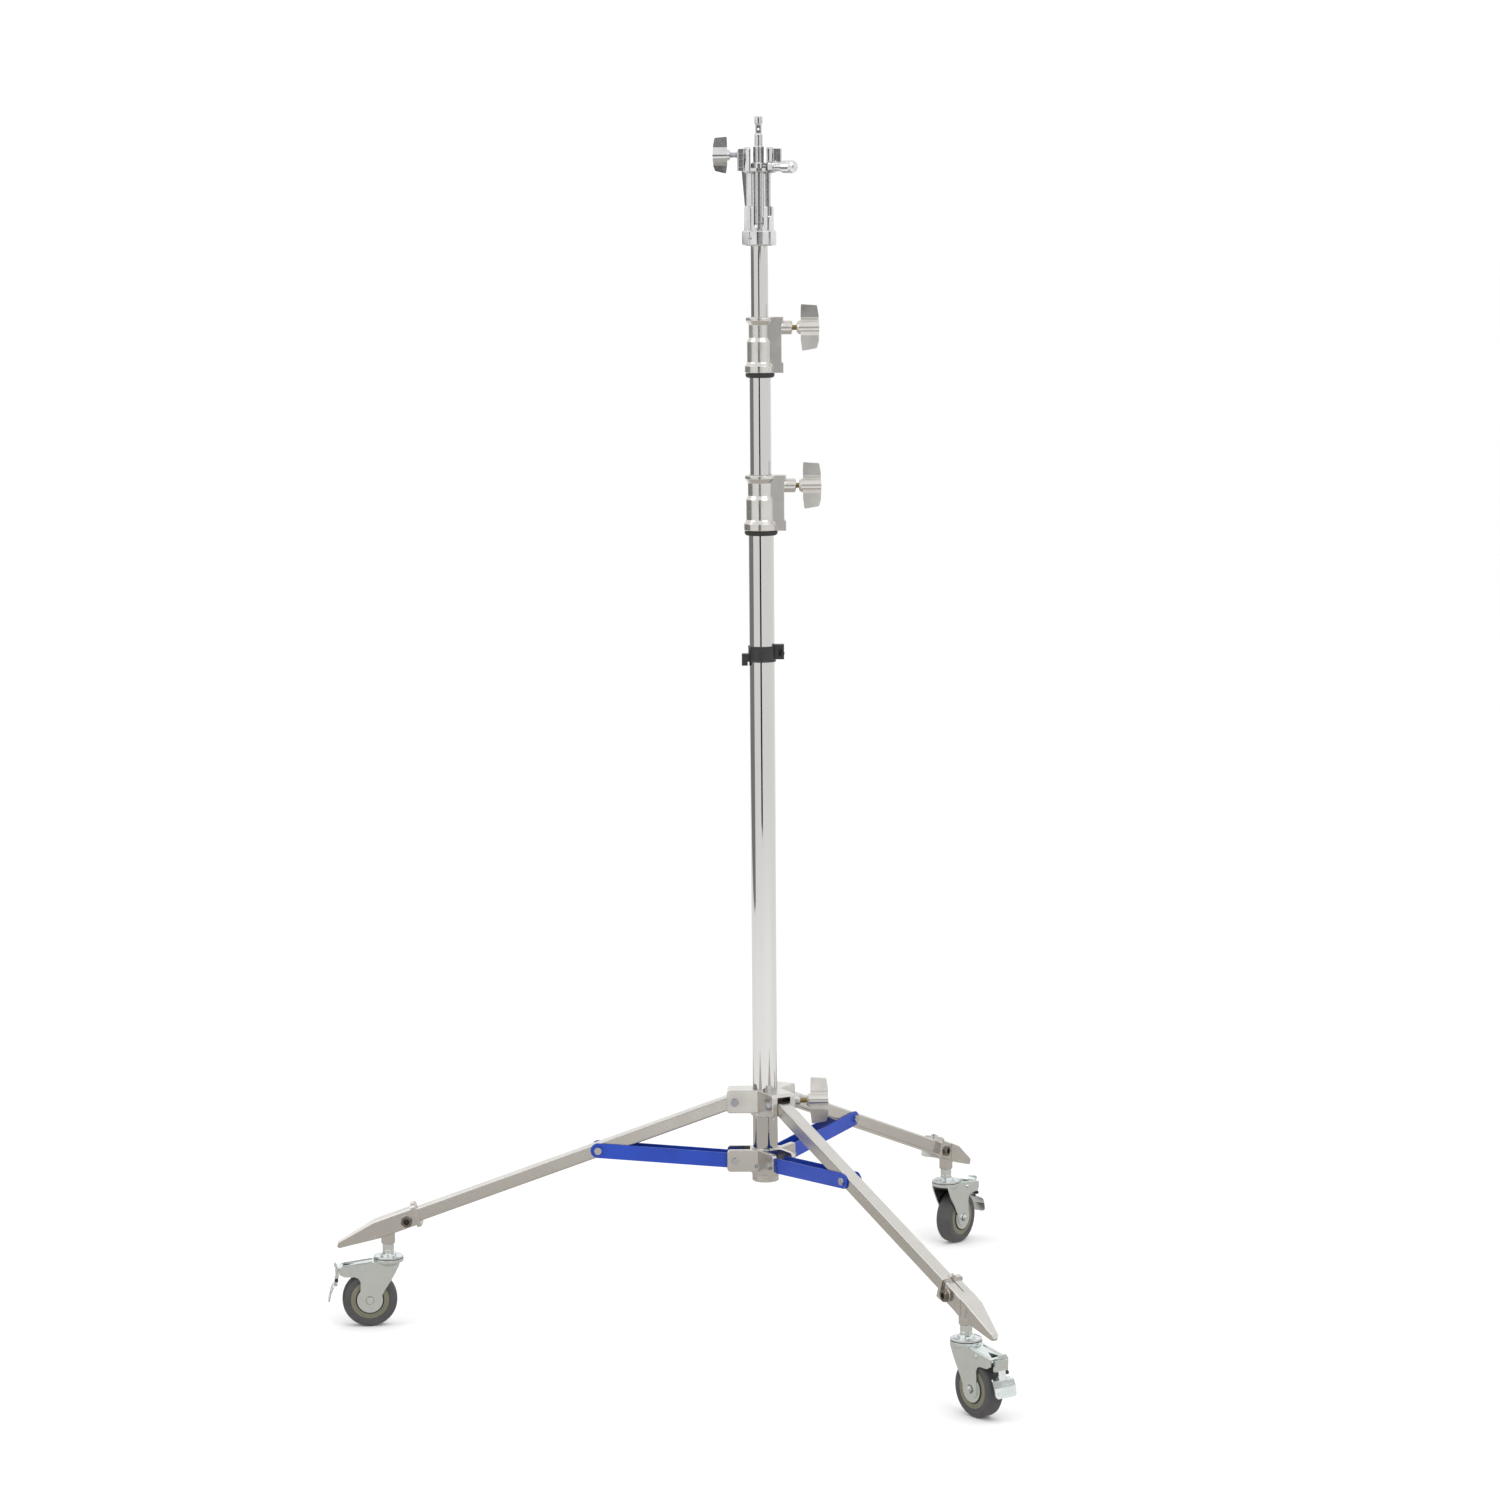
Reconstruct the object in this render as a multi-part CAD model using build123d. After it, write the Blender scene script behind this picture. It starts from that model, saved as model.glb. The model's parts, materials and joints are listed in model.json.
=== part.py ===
from build123d import *

import math
import os

# Rolling light stand with two risers, three folding legs and braked swivel casters.
# Millimetres, +Z up. The origin is on the floor, under the column's axis.
# Each leg is drawn in the XZ plane and turned to its own azimuth about the column.

# ---- driving dimensions --------------------------------------------------------------------
LEG_AZIMUTHS = {"left": 180.0, "front": 300.0, "rear": 60.0}
CASTER_HEADINGS = {"left": 186.0, "front": 306.0, "rear": 56.0}
FIT_GAP = 0.3

BASE_TUBE_R = 22.5
MID_TUBE_R = 19.0
TOP_TUBE_R = 15.4
TUBE_WALL = 1.5
BASE_TUBE_BOTTOM = 273.0
MID_TUBE_BOTTOM = 477.0
TOP_TUBE_BOTTOM = 651.0
TOP_TUBE_TOP = 1983.0

BASE_COLLAR_BOTTOM = 1448.0
MID_COLLAR_BOTTOM = 1728.0
COLLAR_HEIGHT = 98.5
COLLAR_SHOULDER = 58.0
CLAMP_SCREW_R = 5.0
CLAMP_BOSS_R = 12.5
CLAMP_ABOVE_COLLAR_BOTTOM = 79.5

HUB_BARREL_R = 25.7
HUB_ARM_REACH = 69.0
HUB_ARM_HALF = 23.4
LEG_HUB_BOTTOM = 387.0
LEG_HUB_TOP = 436.0
LEG_HUB_ROOF = 6.5
HUB_CLAMP_Z = 413.0
LOWER_HUB_BOTTOM = 279.5
LOWER_HUB_TOP = 328.0
SET_SCREW_R = 5.0
SET_SCREW_Z = 296.0

LEG_PIVOT_R = 54.7
LEG_PIVOT_Z = 413.85
LEG_SLOPE = 19.8
LEG_SIZE = 25.0
LEG_WALL = 1.6
LEG_END = 688.0
BRACE_PIVOT_R = 55.0
BRACE_PIVOT_Z = 305.0
BRACE_TO_LEG = 264.0
BRACE_INSIDE = 26.0
BRACE_WALL = 2.4
BRACE_HEIGHT = 27.0
BRACE_WEB_CUTBACK = 60.0
PIVOT_BOLT_R = 4.0

FOOT_BOLT_AT = 636.0
FOOT_BOLT_RISE = -3.0
FOOT_BOLT_R = 4.0
FOOT_START = 613.0
FOOT_SHOULDER = 694.0
FOOT_NOSE = 768.0
FOOT_HALF = 16.5

CASTER_STEM_R = 688.0
STEM_R = 6.0
STEM_SHOULDER = 152.0
STEM_TOP = 168.5
CASTER_TRAIL = 35.0
WHEEL_R = 50.0
WHEEL_HALF_WIDTH = 16.0
CORE_R = 35.5
FORK_INSIDE = 17.0
FORK_WALL = 2.5
RACE_Z = 124.5
PLATE_TOP = 121.5
PLATE_THICKNESS = 3.0
ARM_END = 90.0
ARM_DROP = math.tan(math.radians(8.0))
AXLE_R = 4.0
RIVET_R = 2.2
BRAKE_PIVOT = (50.0, 108.5)

HEAD_BOTTOM = 1979.0
SOCKET_BORE_R = 14.4
SOCKET_TOP = 2125.0
SOCKET_SHOULDER = 2083.0
HEAD_CLAMP_Z = 2111.0
SPIGOT_R = 13.6
SPIGOT_TOP = 2098.0
PIN_R = 8.0
PIN_COLLAR_R = 9.8
PIN_TOP = 2179.0
PLUNGER_AZIMUTH = -44.0
PLUNGER_Z = 2090.0
PLUNGER_SLOT_BOTTOM = 2006.0
PLUNGER_GUIDE_R = 31.0


# ---- shared shapes -------------------------------------------------------------------------
def turned(points):
    """A solid of revolution about Z from (radius, height) points."""
    return revolve(make_face(Plane.XZ * Polyline(*points, close=True)), Axis.Z)


def ring(outer, inner, low, high):
    """A tube between two heights."""
    return turned([(inner, low), (outer, low), (outer, high), (inner, high)])


def slab(points, low, high, corner=0.0):
    """An (x, z) outline, its corners rounded, extruded from y = low to y = high."""
    outline = make_face(Polyline(*points, close=True))
    if corner:
        outline = fillet(outline.vertices(), corner)
    solid = extrude(outline, high - low)
    return Pos(0, high, 0) * Rot(90, 0, 0) * solid


def rod_y(radius, low, high, x=0.0, z=0.0):
    """A round bar along Y."""
    return Pos(x, (low + high) / 2, z) * Rot(90, 0, 0) * Cylinder(radius, high - low)


def rod_x(radius, low, high, y=0.0, z=0.0):
    """A round bar along X."""
    return Pos((low + high) / 2, y, z) * Rot(0, 90, 0) * Cylinder(radius, high - low)


def hex_y(across_flats, low, high, x=0.0, z=0.0):
    """A hexagon head or nut with its axis along Y and a chamfered outer rim."""
    half = across_flats / 2
    body = extrude(RegularPolygon(across_flats / math.sqrt(3), 6), high - low)
    rim = Cone(half * 1.28, half * 1.04, high - low, align=(Align.CENTER, Align.CENTER, Align.MIN))
    return Pos(x, low, z) * Rot(-90, 0, 0) * (body & rim)


def both_sides(shape, x=0.0):
    """A shape on the +Y side with its copy turned about the vertical line at x to the -Y side."""
    return [shape, Pos(2 * x, 0, 0) * Rot(0, 0, 180) * shape]


def box_between(low, high):
    """A box from its lowest corner to its highest corner."""
    size = [b - a for a, b in zip(low, high)]
    middle = [(a + b) / 2 for a, b in zip(low, high)]
    return Pos(*middle) * Box(*size)


def at_azimuth(azimuth, shape):
    return Rot(0, 0, azimuth) * shape


def save(shape, node):
    export_step(shape, f"parts/{node}.step")


def save_group(solids, node):
    save(Compound(children=[solid for part in solids for solid in part.solids()]), node)


# ---- column: tubes, guides, collars --------------------------------------------------------
def tube(radius, low, high):
    return ring(radius, radius - TUBE_WALL, low, high)


def base_end_cap():
    """A cup pressed over the foot of the base tube."""
    rim, floor, height = 1.6, 7.0, 13.5
    low = BASE_TUBE_BOTTOM - floor
    outer = BASE_TUBE_R + rim
    return turned([(0, low), (outer - 1.5, low), (outer, low + 1.5), (outer, low + 6.5), (outer - 0.5, low + 7),
                   (outer, low + 7.5), (outer, low + height - 0.5), (outer - 0.5, low + height),
                   (BASE_TUBE_R, low + height), (BASE_TUBE_R, BASE_TUBE_BOTTOM), (0, BASE_TUBE_BOTTOM)])


def riser_guide(tube_radius, outer_tube_radius, tube_bottom):
    """The plastic foot of a riser: a plug in the tube with a flange that runs in the tube outside."""
    plug = tube_radius - TUBE_WALL
    flange = outer_tube_radius - TUBE_WALL - FIT_GAP
    hole = plug - 3.0
    return turned([(hole, tube_bottom - 18), (flange - 1, tube_bottom - 18), (flange, tube_bottom - 16),
                   (flange, tube_bottom - 1), (flange - 1, tube_bottom), (plug, tube_bottom),
                   (plug, tube_bottom + 16), (hole, tube_bottom + 16)])


def collar(bottom, tube_radius, riser_bore, box_reach, boss_reach):
    """A clamping collar: a casting on the end of one tube that grips the riser inside it."""
    top = bottom + COLLAR_HEIGHT
    step = bottom + COLLAR_SHOULDER
    foot = tube_radius + 8.2
    lower = tube_radius + 4.0
    upper = tube_radius + 0.8
    rim = tube_radius + 6.0
    body = turned([(0, bottom), (foot - 1, bottom), (foot, bottom + 1), (foot, bottom + 12),
                   (lower + 0.8, bottom + 17), (lower, bottom + 19), (lower, step - 3), (upper, step + 4),
                   (upper, top - 14), (rim - 1, top - 7.5), (rim, top - 6), (rim, top - 1.5),
                   (rim - 1.5, top), (0, top)])
    half = min(tube_radius * 0.78, 15.5)
    lug = slab([(0, bottom), (box_reach + 3.2, bottom), (box_reach + 3.2, bottom + 17),
                (box_reach, bottom + 19), (box_reach, top - 15), (box_reach + 3.6, top - 6),
                (box_reach + 3.6, top), (0, top)], -half, half)
    lug = chamfer(lug.edges().filter_by(Axis.Z).sort_by(Axis.X)[-2:], 1.2)
    clamp_z = bottom + CLAMP_ABOVE_COLLAR_BOTTOM
    bores = turned([(0, bottom - 1), (tube_radius, bottom - 1), (tube_radius, step), (riser_bore, step),
                    (riser_bore, top + 1), (0, top + 1)])
    screw_hole = rod_x(CLAMP_SCREW_R + FIT_GAP, 0, boss_reach + 1, z=clamp_z)
    return body + lug + clamp_boss(boss_reach, clamp_z) - bores - screw_hole


def clamp_boss(reach, height):
    """The round boss, along +X, that a clamp screw is threaded through."""
    return Pos(0, 0, height) * Rot(0, 90, 0) * turned([
        (0, 0), (CLAMP_BOSS_R, 0), (CLAMP_BOSS_R, reach - 1.8), (CLAMP_BOSS_R - 1.8, reach), (0, reach)])


def collar_ring(bottom, tube_radius, outer):
    """A rubber bumper ring under a collar."""
    low = bottom - 8.5
    return turned([(tube_radius, low), (outer - 2.5, low), (outer, low + 3), (outer, bottom - 2),
                   (outer - 2, bottom), (tube_radius, bottom)])


def tube_clip():
    """A split nylon band on the base tube with a hook lug on one side and a latch lug on the other."""
    low, high = 1213.0, 1241.0
    outer = BASE_TUBE_R + 2.6
    band = turned([(BASE_TUBE_R, low), (outer, low), (outer, low + 1.5), (outer - 0.6, low + 3),
                   (outer - 0.6, high - 3), (outer, high - 1.5), (outer, high), (BASE_TUBE_R, high)])
    latch = box_between((22, -7, low + 4), (39.5, 9, high + 2.5))
    latch -= box_between((30, -10, low + 11), (36, 1, high - 6))
    latch += rod_y(3.0, -8.5, 10, x=37.5, z=low + 14)
    hook = box_between((-36, -8, low - 7), (-22, 8, low + 14))
    hook -= box_between((-25.5, -9, low - 8), (-22.6, 9, low))
    bore = ring(BASE_TUBE_R, 0.0, low - 10, high + 10)
    return band + (latch - bore) + (hook - bore)


# ---- clamp handles -------------------------------------------------------------------------
def wing(start, length, half_height):
    """The S-shaped blade of a T-handle, from its hub outwards along +X."""
    end = start + length
    side = slab([(start + 0.5, half_height), (end - 4, half_height - 2), (end - 1.2, half_height * 0.55),
                 (end, 0), (end - 1, -half_height * 0.6), (end - 4.5, -half_height + 4.5),
                 (start + 2.5, -half_height), (start, -half_height * 0.5), (start, half_height * 0.6)],
                -30, 30, corner=1.6)
    tip = half_height + 1
    sweep = [(2, 0), (10, 6), (11.5, 14), (11, tip), (3.5, tip), (2.5, 17), (-4, 12.5), (-12, 5)]
    sweep += [(-y, -z) for y, z in sweep]
    blade = fillet(make_face(Polyline(*sweep, close=True)).vertices(), 1.2)
    profile = Pos(start - 2, 0, 0) * extrude(Plane.YZ * blade, length + 4)
    return (profile + rod_x(CLAMP_BOSS_R, start - 2, end)) & side


def handle(start, size=1.0):
    """A cast T-handle whose hub starts at x = start, with the screw's blind hole in it."""
    hub = Rot(0, 90, 0) * turned([(0, start), (9.5 * size, start), (12.5 * size, start + 4 * size),
                                  (12.5 * size, start + 9 * size), (0, start + 9 * size)])
    blade = wing(start + 7 * size, 33 * size, 41 * size)
    return hub + blade - rod_x(CLAMP_SCREW_R, start - 1, start + 12 * size)


def clamp_screw(tip, handle_start, size=1.0):
    """The brass screw from its pressure pad to the bottom of the handle's hole."""
    screw = Rot(0, 90, 0) * turned([(0, tip + 2), (3, tip + 2), (CLAMP_SCREW_R, tip + 4),
                                    (CLAMP_SCREW_R, handle_start + 12 * size), (0, handle_start + 12 * size)])
    pad = rod_x(CLAMP_SCREW_R - 0.4, tip, tip + 1.8)
    return [screw, pad]


# ---- head: socket, drop-in pin, plunger ----------------------------------------------------
def head_socket():
    """The cast socket: a sleeve on the top riser, a slotted barrel and two clamping ears."""
    sleeve_r, barrel_r, ear_r = 27.0, 22.3, 28.8
    sleeve_top = HEAD_BOTTOM + 40
    body = turned([(0, HEAD_BOTTOM), (sleeve_r, HEAD_BOTTOM), (sleeve_r, sleeve_top),
                   (sleeve_r - 2, sleeve_top + 2.5),
                   (barrel_r, sleeve_top + 2.5), (barrel_r, SOCKET_SHOULDER - 5), (ear_r - 2,
                                                                                   SOCKET_SHOULDER - 2),
                   (ear_r, SOCKET_SHOULDER), (ear_r, SOCKET_TOP - 3), (ear_r - 3, SOCKET_TOP), (0, SOCKET_TOP)])
    screw_boss = slab([(-38, SOCKET_SHOULDER), (-20, SOCKET_SHOULDER), (-20, SOCKET_TOP - 3),
                       (-35, SOCKET_TOP - 3), (-38, SOCKET_TOP - 7)], -10.5, 10.5)
    screw_boss = fillet(screw_boss.edges().filter_by(Axis.Z).sort_by(Axis.X)[:2], 3)
    rib = slab([(-30, SOCKET_SHOULDER), (-24.6, sleeve_top), (-10, sleeve_top), (-10, SOCKET_SHOULDER)], -4, 4)
    end_boss = slab([(20, SOCKET_TOP - 28), (41, SOCKET_TOP - 28), (41, SOCKET_TOP - 3), (20, SOCKET_TOP - 3)],
                    -10, 10)
    end_boss = fillet(end_boss.edges().filter_by(Axis.Z).sort_by(Axis.X)[-2:], 3)
    bore = ring(SOCKET_BORE_R, 0, TOP_TUBE_TOP, SOCKET_TOP + 1) + ring(TOP_TUBE_R, 0, HEAD_BOTTOM - 1,
                                                                       TOP_TUBE_TOP)
    channel = box_between((-13.8, -40, SOCKET_SHOULDER + 5), (13.8, 40, SOCKET_TOP + 1))
    slot_low = HEAD_BOTTOM + 10.5
    slot = box_between((-8.5, -40, slot_low), (8.5, 40, SOCKET_SHOULDER - 2)) + rod_y(8.5, -40, 40, z=slot_low)
    guide = box_between((10, -4.8, PLUNGER_SLOT_BOTTOM), (36, 4.8, PLUNGER_Z))
    guide += rod_x(4.8, 10, 36, z=PLUNGER_SLOT_BOTTOM) + rod_x(4.8, 10, 36, z=PLUNGER_Z)
    screw_hole = rod_x(CLAMP_SCREW_R + FIT_GAP, -41, 0, z=HEAD_CLAMP_Z)
    return (body + screw_boss + rib + end_boss - bore - channel - slot - at_azimuth(PLUNGER_AZIMUTH, guide)
            - screw_hole - ear_windows())


def ear_windows():
    """The cored pockets in the front and back faces of the two ears."""
    screw_side = box_between((-34.7, -11, SOCKET_TOP - 36), (-28.5, -5.8, SOCKET_TOP - 11))
    screw_side += box_between((-34.7, -11, SOCKET_TOP - 36), (-28.5, 3, SOCKET_TOP - 21))
    far_side = box_between((31.7, -11, SOCKET_TOP - 26.5), (38.6, 4, SOCKET_TOP - 11))
    return screw_side + far_side


def head_collar():
    """A clamp ring that locks the socket to the riser, with its grub screw."""
    low = HEAD_BOTTOM - 27
    outer = 31.0
    screw_z = low + 13
    band = turned([(TOP_TUBE_R, low), (outer - 2.5, low), (outer, low + 2.5), (outer, HEAD_BOTTOM - 2),
                   (outer - 2, HEAD_BOTTOM), (TOP_TUBE_R, HEAD_BOTTOM)])
    socket = Pos(27, 0, screw_z) * Rot(0, 90, 0) * extrude(RegularPolygon(2.3, 6), 3)
    hole = at_azimuth(-120, rod_x(4, 20, 40, z=screw_z))
    screw = at_azimuth(-120, rod_x(4, 20, 29, z=screw_z) - socket)
    return [band - hole, screw]


def spigot():
    """The pin carriage: a round spigot that slides in the socket and down into the riser."""
    low = TOP_TUBE_TOP + 6
    body = turned([(0, low), (SPIGOT_R - 2, low), (SPIGOT_R, low + 2), (SPIGOT_R, SPIGOT_TOP - 2),
                   (SPIGOT_R - 2, SPIGOT_TOP), (0, SPIGOT_TOP)])
    hole = at_azimuth(PLUNGER_AZIMUTH, rod_x(3.6, 5, 20, z=PLUNGER_Z))
    return body - hole


def baby_pin():
    """The mounting pin: a collar, a plain shank, a waist with flats and a button head."""
    waist_low, waist_high = PIN_TOP - 32, PIN_TOP - 14
    collar_top = SOCKET_TOP + 1.5
    pin = turned([(0, SPIGOT_TOP), (PIN_COLLAR_R, SPIGOT_TOP), (PIN_COLLAR_R, collar_top - 1),
                  (PIN_COLLAR_R - 1, collar_top), (PIN_R, collar_top), (PIN_R, waist_low - 1),
                  (6.4, waist_low + 1.5), (6.4, waist_high - 1.5), (PIN_R, waist_high + 1), (PIN_R, PIN_TOP
                                                                                             - 2),
                  (PIN_R - 2, PIN_TOP), (0, PIN_TOP)])
    for near, far in ((-9, -5.2), (5.2, 9)):
        pin -= box_between((-9, near, waist_low + 2), (9, far, waist_high - 2))
    return pin - rod_y(2.0, -10, 10, z=(waist_low + waist_high) / 2)


def plunger_guide():
    """The hexagonal sleeve, with its ribbed neck, that carries the plunger outside the socket."""
    start = PLUNGER_GUIDE_R
    sleeve = Pos(start, 0, PLUNGER_Z) * Rot(0, 90, 0) * extrude(RegularPolygon(10.5, 6), 11)
    rim = [(0, start + 11)]
    for step in range(5):
        at = start + 11 + 3.8 * step
        rim += [(8.4, at), (8.4, at + 2.4), (7.2, at + 2.9), (7.2, at + 3.5)]
    neck = Pos(0, 0, PLUNGER_Z) * Rot(0, 90, 0) * turned(rim + [(0, rim[-1][1])])
    stem = rod_x(3.9, SPIGOT_R + 0.2, start, z=PLUNGER_Z)
    hole = rod_x(2.6, 0, 80, z=PLUNGER_Z)
    return at_azimuth(PLUNGER_AZIMUTH, sleeve + neck + stem - hole)


def plunger():
    """The sprung pin and its grip."""
    start = PLUNGER_GUIDE_R + 30.8
    pin = rod_x(2.3, SPIGOT_R - 6, start + 4, z=PLUNGER_Z)
    grip = Pos(0, 0, PLUNGER_Z) * Rot(0, 90, 0) * turned([
        (0, start), (9.6, start), (11.8, start + 2), (11.8, start + 21), (10.4, start + 25), (7, start + 27),
        (0, start + 27.5)])
    return at_azimuth(PLUNGER_AZIMUTH, pin + grip)


# ---- hubs ----------------------------------------------------------------------------------
def arm_plates(azimuth, low, high, reach, half_width, slot_half, roof):
    """One clevis arm: two plates tangent to the barrel, joined over the top where there is a roof."""
    arm = slab([(0, low), (reach, low), (reach, high), (0, high)], -half_width, half_width)
    arm = fillet(arm.edges().filter_by(Axis.Y).sort_by(Axis.X)[-2:], 6)
    arm = fillet(arm.edges().filter_by(Axis.Z).sort_by(Axis.X)[-2:], 1.5)
    slot = box_between((BASE_TUBE_R + 5, -slot_half, low - 1), (reach + 1, slot_half, high + 1 - roof))
    return at_azimuth(azimuth, arm), at_azimuth(azimuth, slot)


def hub(low, high, arm_low, arm_high, slot_half, roof, bore, pivot_r, pivot_z):
    """A hub's barrel with its three arms, and the space to cut out of it."""
    body = turned([(0, low), (HUB_BARREL_R - 1, low), (HUB_BARREL_R, low + 1), (HUB_BARREL_R, high - 1),
                   (HUB_BARREL_R - 1, high), (0, high)])
    cuts = ring(bore, 0, low - 1, high + 1)
    for azimuth in LEG_AZIMUTHS.values():
        arm, slot = arm_plates(azimuth, arm_low, arm_high, HUB_ARM_REACH, HUB_ARM_HALF, slot_half, roof)
        body += arm
        cuts += slot + at_azimuth(azimuth, rod_y(PIVOT_BOLT_R, -30, 30, x=pivot_r, z=pivot_z))
    return body, cuts


def leg_hub():
    """The sliding hub: roofed arms for the legs and a boss for its clamp."""
    body, cuts = hub(LEG_HUB_BOTTOM, LEG_HUB_TOP, LEG_HUB_BOTTOM + 7, LEG_HUB_TOP, LEG_SIZE / 2 + 0.7,
                     LEG_HUB_ROOF,
                     BASE_TUBE_R + FIT_GAP, LEG_PIVOT_R, LEG_PIVOT_Z)
    web_half = CLAMP_BOSS_R - 2
    web = box_between((0, -web_half, LEG_HUB_BOTTOM + 4), (40, web_half, LEG_HUB_TOP - 13))
    screw_hole = rod_x(CLAMP_SCREW_R + FIT_GAP, 0, 65, z=HUB_CLAMP_Z)
    return body + clamp_boss(64, HUB_CLAMP_Z) + web - cuts - screw_hole


def lower_hub():
    """The fixed hub at the foot of the base tube, with open arms for the braces."""
    slot_half = BRACE_INSIDE / 2 + BRACE_WALL + FIT_GAP
    body, cuts = hub(LOWER_HUB_BOTTOM, LOWER_HUB_TOP, LOWER_HUB_BOTTOM + 6.5, LOWER_HUB_TOP - 2, slot_half, 0,
                     BASE_TUBE_R, BRACE_PIVOT_R, BRACE_PIVOT_Z)
    for azimuth in LEG_AZIMUTHS.values():
        cuts += at_azimuth(azimuth + 60, rod_x(SET_SCREW_R, 20, 40, z=SET_SCREW_Z))
    return body - cuts


def pivot_bolt(radius_at, height, half_width):
    """A hexagon bolt through a clevis, with its nut."""
    shank = rod_y(PIVOT_BOLT_R, -half_width - 6, half_width, x=radius_at, z=height)
    head = hex_y(13, half_width, half_width + 5, x=radius_at, z=height)
    nut = Pos(2 * radius_at, 0, 0) * Rot(0, 0, 180) * hex_y(13, half_width, half_width + 5.5, x=radius_at,
                                                            z=height)
    return shank + head, nut - shank


def hub_bolts(radius_at, height):
    solids = []
    for azimuth in LEG_AZIMUTHS.values():
        solids += [at_azimuth(azimuth, part) for part in pivot_bolt(radius_at, height, HUB_ARM_HALF)]
    return solids


def set_screws():
    """Three socket screws that hold the lower hub on the tube."""
    socket = Pos(25, 0, SET_SCREW_Z) * Rot(0, 90, 0) * extrude(RegularPolygon(2.9, 6), 3)
    screw = rod_x(SET_SCREW_R, BASE_TUBE_R, 27.5, z=SET_SCREW_Z) - socket
    return [at_azimuth(azimuth + 60, screw) for azimuth in LEG_AZIMUTHS.values()]


# ---- legs and braces -----------------------------------------------------------------------
def in_leg(azimuth, shape):
    """Places a shape drawn along +X from the leg's pivot, with the leg's top at +Z."""
    return Rot(0, 0, azimuth) * Pos(LEG_PIVOT_R, 0, LEG_PIVOT_Z) * Rot(0, LEG_SLOPE, 0) * shape


def square_bar(size, corner, low, high):
    """A bar along X with a rounded square section."""
    section = Plane.YZ * RectangleRounded(size, size, corner)
    return Pos(low, 0, 0) * extrude(section, high - low)


def leg_tube():
    """A square tube with a round end about its pivot."""
    half = LEG_SIZE / 2
    inside = LEG_SIZE - 2 * LEG_WALL
    bar = square_bar(LEG_SIZE, 3.5, -half, LEG_END) - square_bar(inside, 2.0, -half - 1, LEG_END + 1)
    keep = rod_y(half, -half, half) + box_between((0, -half, -half), (LEG_END, half, half))
    foot_hole = rod_y(FOOT_BOLT_R, -20, 20, x=FOOT_BOLT_AT, z=FOOT_BOLT_RISE)
    return (bar & keep) - rod_y(PIVOT_BOLT_R + FIT_GAP, -20, 20) - foot_hole


def on_leg(shape):
    """Places a shape drawn along +X from the leg's pivot in the leg's own vertical plane."""
    return Pos(LEG_PIVOT_R, 0, LEG_PIVOT_Z) * Rot(0, LEG_SLOPE, 0) * shape


def leg_foot():
    """The cast foot: a split clamp on the leg's end, a boss for the caster and a tapered nose."""
    nose_half, nose_low, nose_high = 7.0, -10.5, 2.0
    outline = [(FOOT_START, -FOOT_HALF), (FOOT_START, FOOT_HALF), (FOOT_SHOULDER, FOOT_HALF),
               (FOOT_NOSE, nose_high),
               (FOOT_NOSE + 6.5, nose_low + 5), (FOOT_NOSE + 4, nose_low), (FOOT_SHOULDER, -FOOT_HALF)]
    edge = [(FOOT_START, FOOT_HALF), (FOOT_SHOULDER, FOOT_HALF), (FOOT_NOSE, nose_half),
            (FOOT_NOSE + 7, nose_half - 3)]
    plan = make_face(Polyline(*edge, *[(x, -y) for x, y in reversed(edge)], close=True))
    body = slab(outline, -30, 30) & Pos(0, 0, -30) * extrude(plan, 60)
    body = fillet(body.edges(), 3.0)
    body += square_bar(2 * FOOT_HALF + 8, 4.0, FOOT_START, FOOT_START + 8)
    ear = box_between((FOOT_START, -6, FOOT_HALF), (FOOT_START + 8, 6, FOOT_HALF + 8))
    body += fillet(ear.edges().filter_by(Axis.X).sort_by(Axis.Z)[-2:], 3)
    pad_half = FOOT_HALF + 1.2
    body += rod_y(11.0, -pad_half, pad_half, x=FOOT_BOLT_AT, z=FOOT_BOLT_RISE)
    body -= box_between((FOOT_START - 1, -1.1, 5), (FOOT_START + 46, 1.1, FOOT_HALF + 12))
    body -= rod_y(FOOT_BOLT_R, -30, 30, x=FOOT_BOLT_AT, z=FOOT_BOLT_RISE)
    panel = slab([(FOOT_SHOULDER + 4, -11), (FOOT_SHOULDER + 4, 9), (FOOT_NOSE - 16, -1),
                  (FOOT_NOSE - 8, -6.5)],
                 FOOT_HALF - 1.4, FOOT_HALF + 5)
    body -= panel + mirror(panel, Plane.XZ)
    raised = FOOT_HALF + 0.9
    relief = on_leg(slab([(x, z * 0.88) for x, z in outline], -raised, raised))
    relief &= box_between((CASTER_STEM_R - 7.5, -raised, STEM_SHOULDER + 12),
                          (CASTER_STEM_R + 7.5, raised, 230))
    boss = Pos(CASTER_STEM_R, 0, 0) * turned([
        (0, STEM_SHOULDER), (12, STEM_SHOULDER), (12.8, STEM_SHOULDER + 1), (12.8, STEM_SHOULDER + 21),
        (0, STEM_SHOULDER + 21)])
    bore = Pos(CASTER_STEM_R, 0, 0) * ring(STEM_R, 0, STEM_SHOULDER - 1, STEM_TOP)
    cavity = on_leg(square_bar(LEG_SIZE, 3.5, FOOT_START - 1, LEG_END))
    return on_leg(body) + relief + boss - cavity - bore


def foot_bolt():
    """The foot's clamp bolt: a socket head on one side and a nut on the other."""
    half = FOOT_HALF + 1.2
    shank = rod_y(FOOT_BOLT_R, -half - 3, half, x=FOOT_BOLT_AT, z=FOOT_BOLT_RISE)
    collar_nut = hex_y(19, half, half + 7, x=FOOT_BOLT_AT, z=FOOT_BOLT_RISE)
    collar_nut -= rod_y(5.6, half + 3.5, half + 8, x=FOOT_BOLT_AT, z=FOOT_BOLT_RISE)
    head, nut = both_sides(collar_nut, x=FOOT_BOLT_AT)
    return [shank + head, nut - shank]


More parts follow.
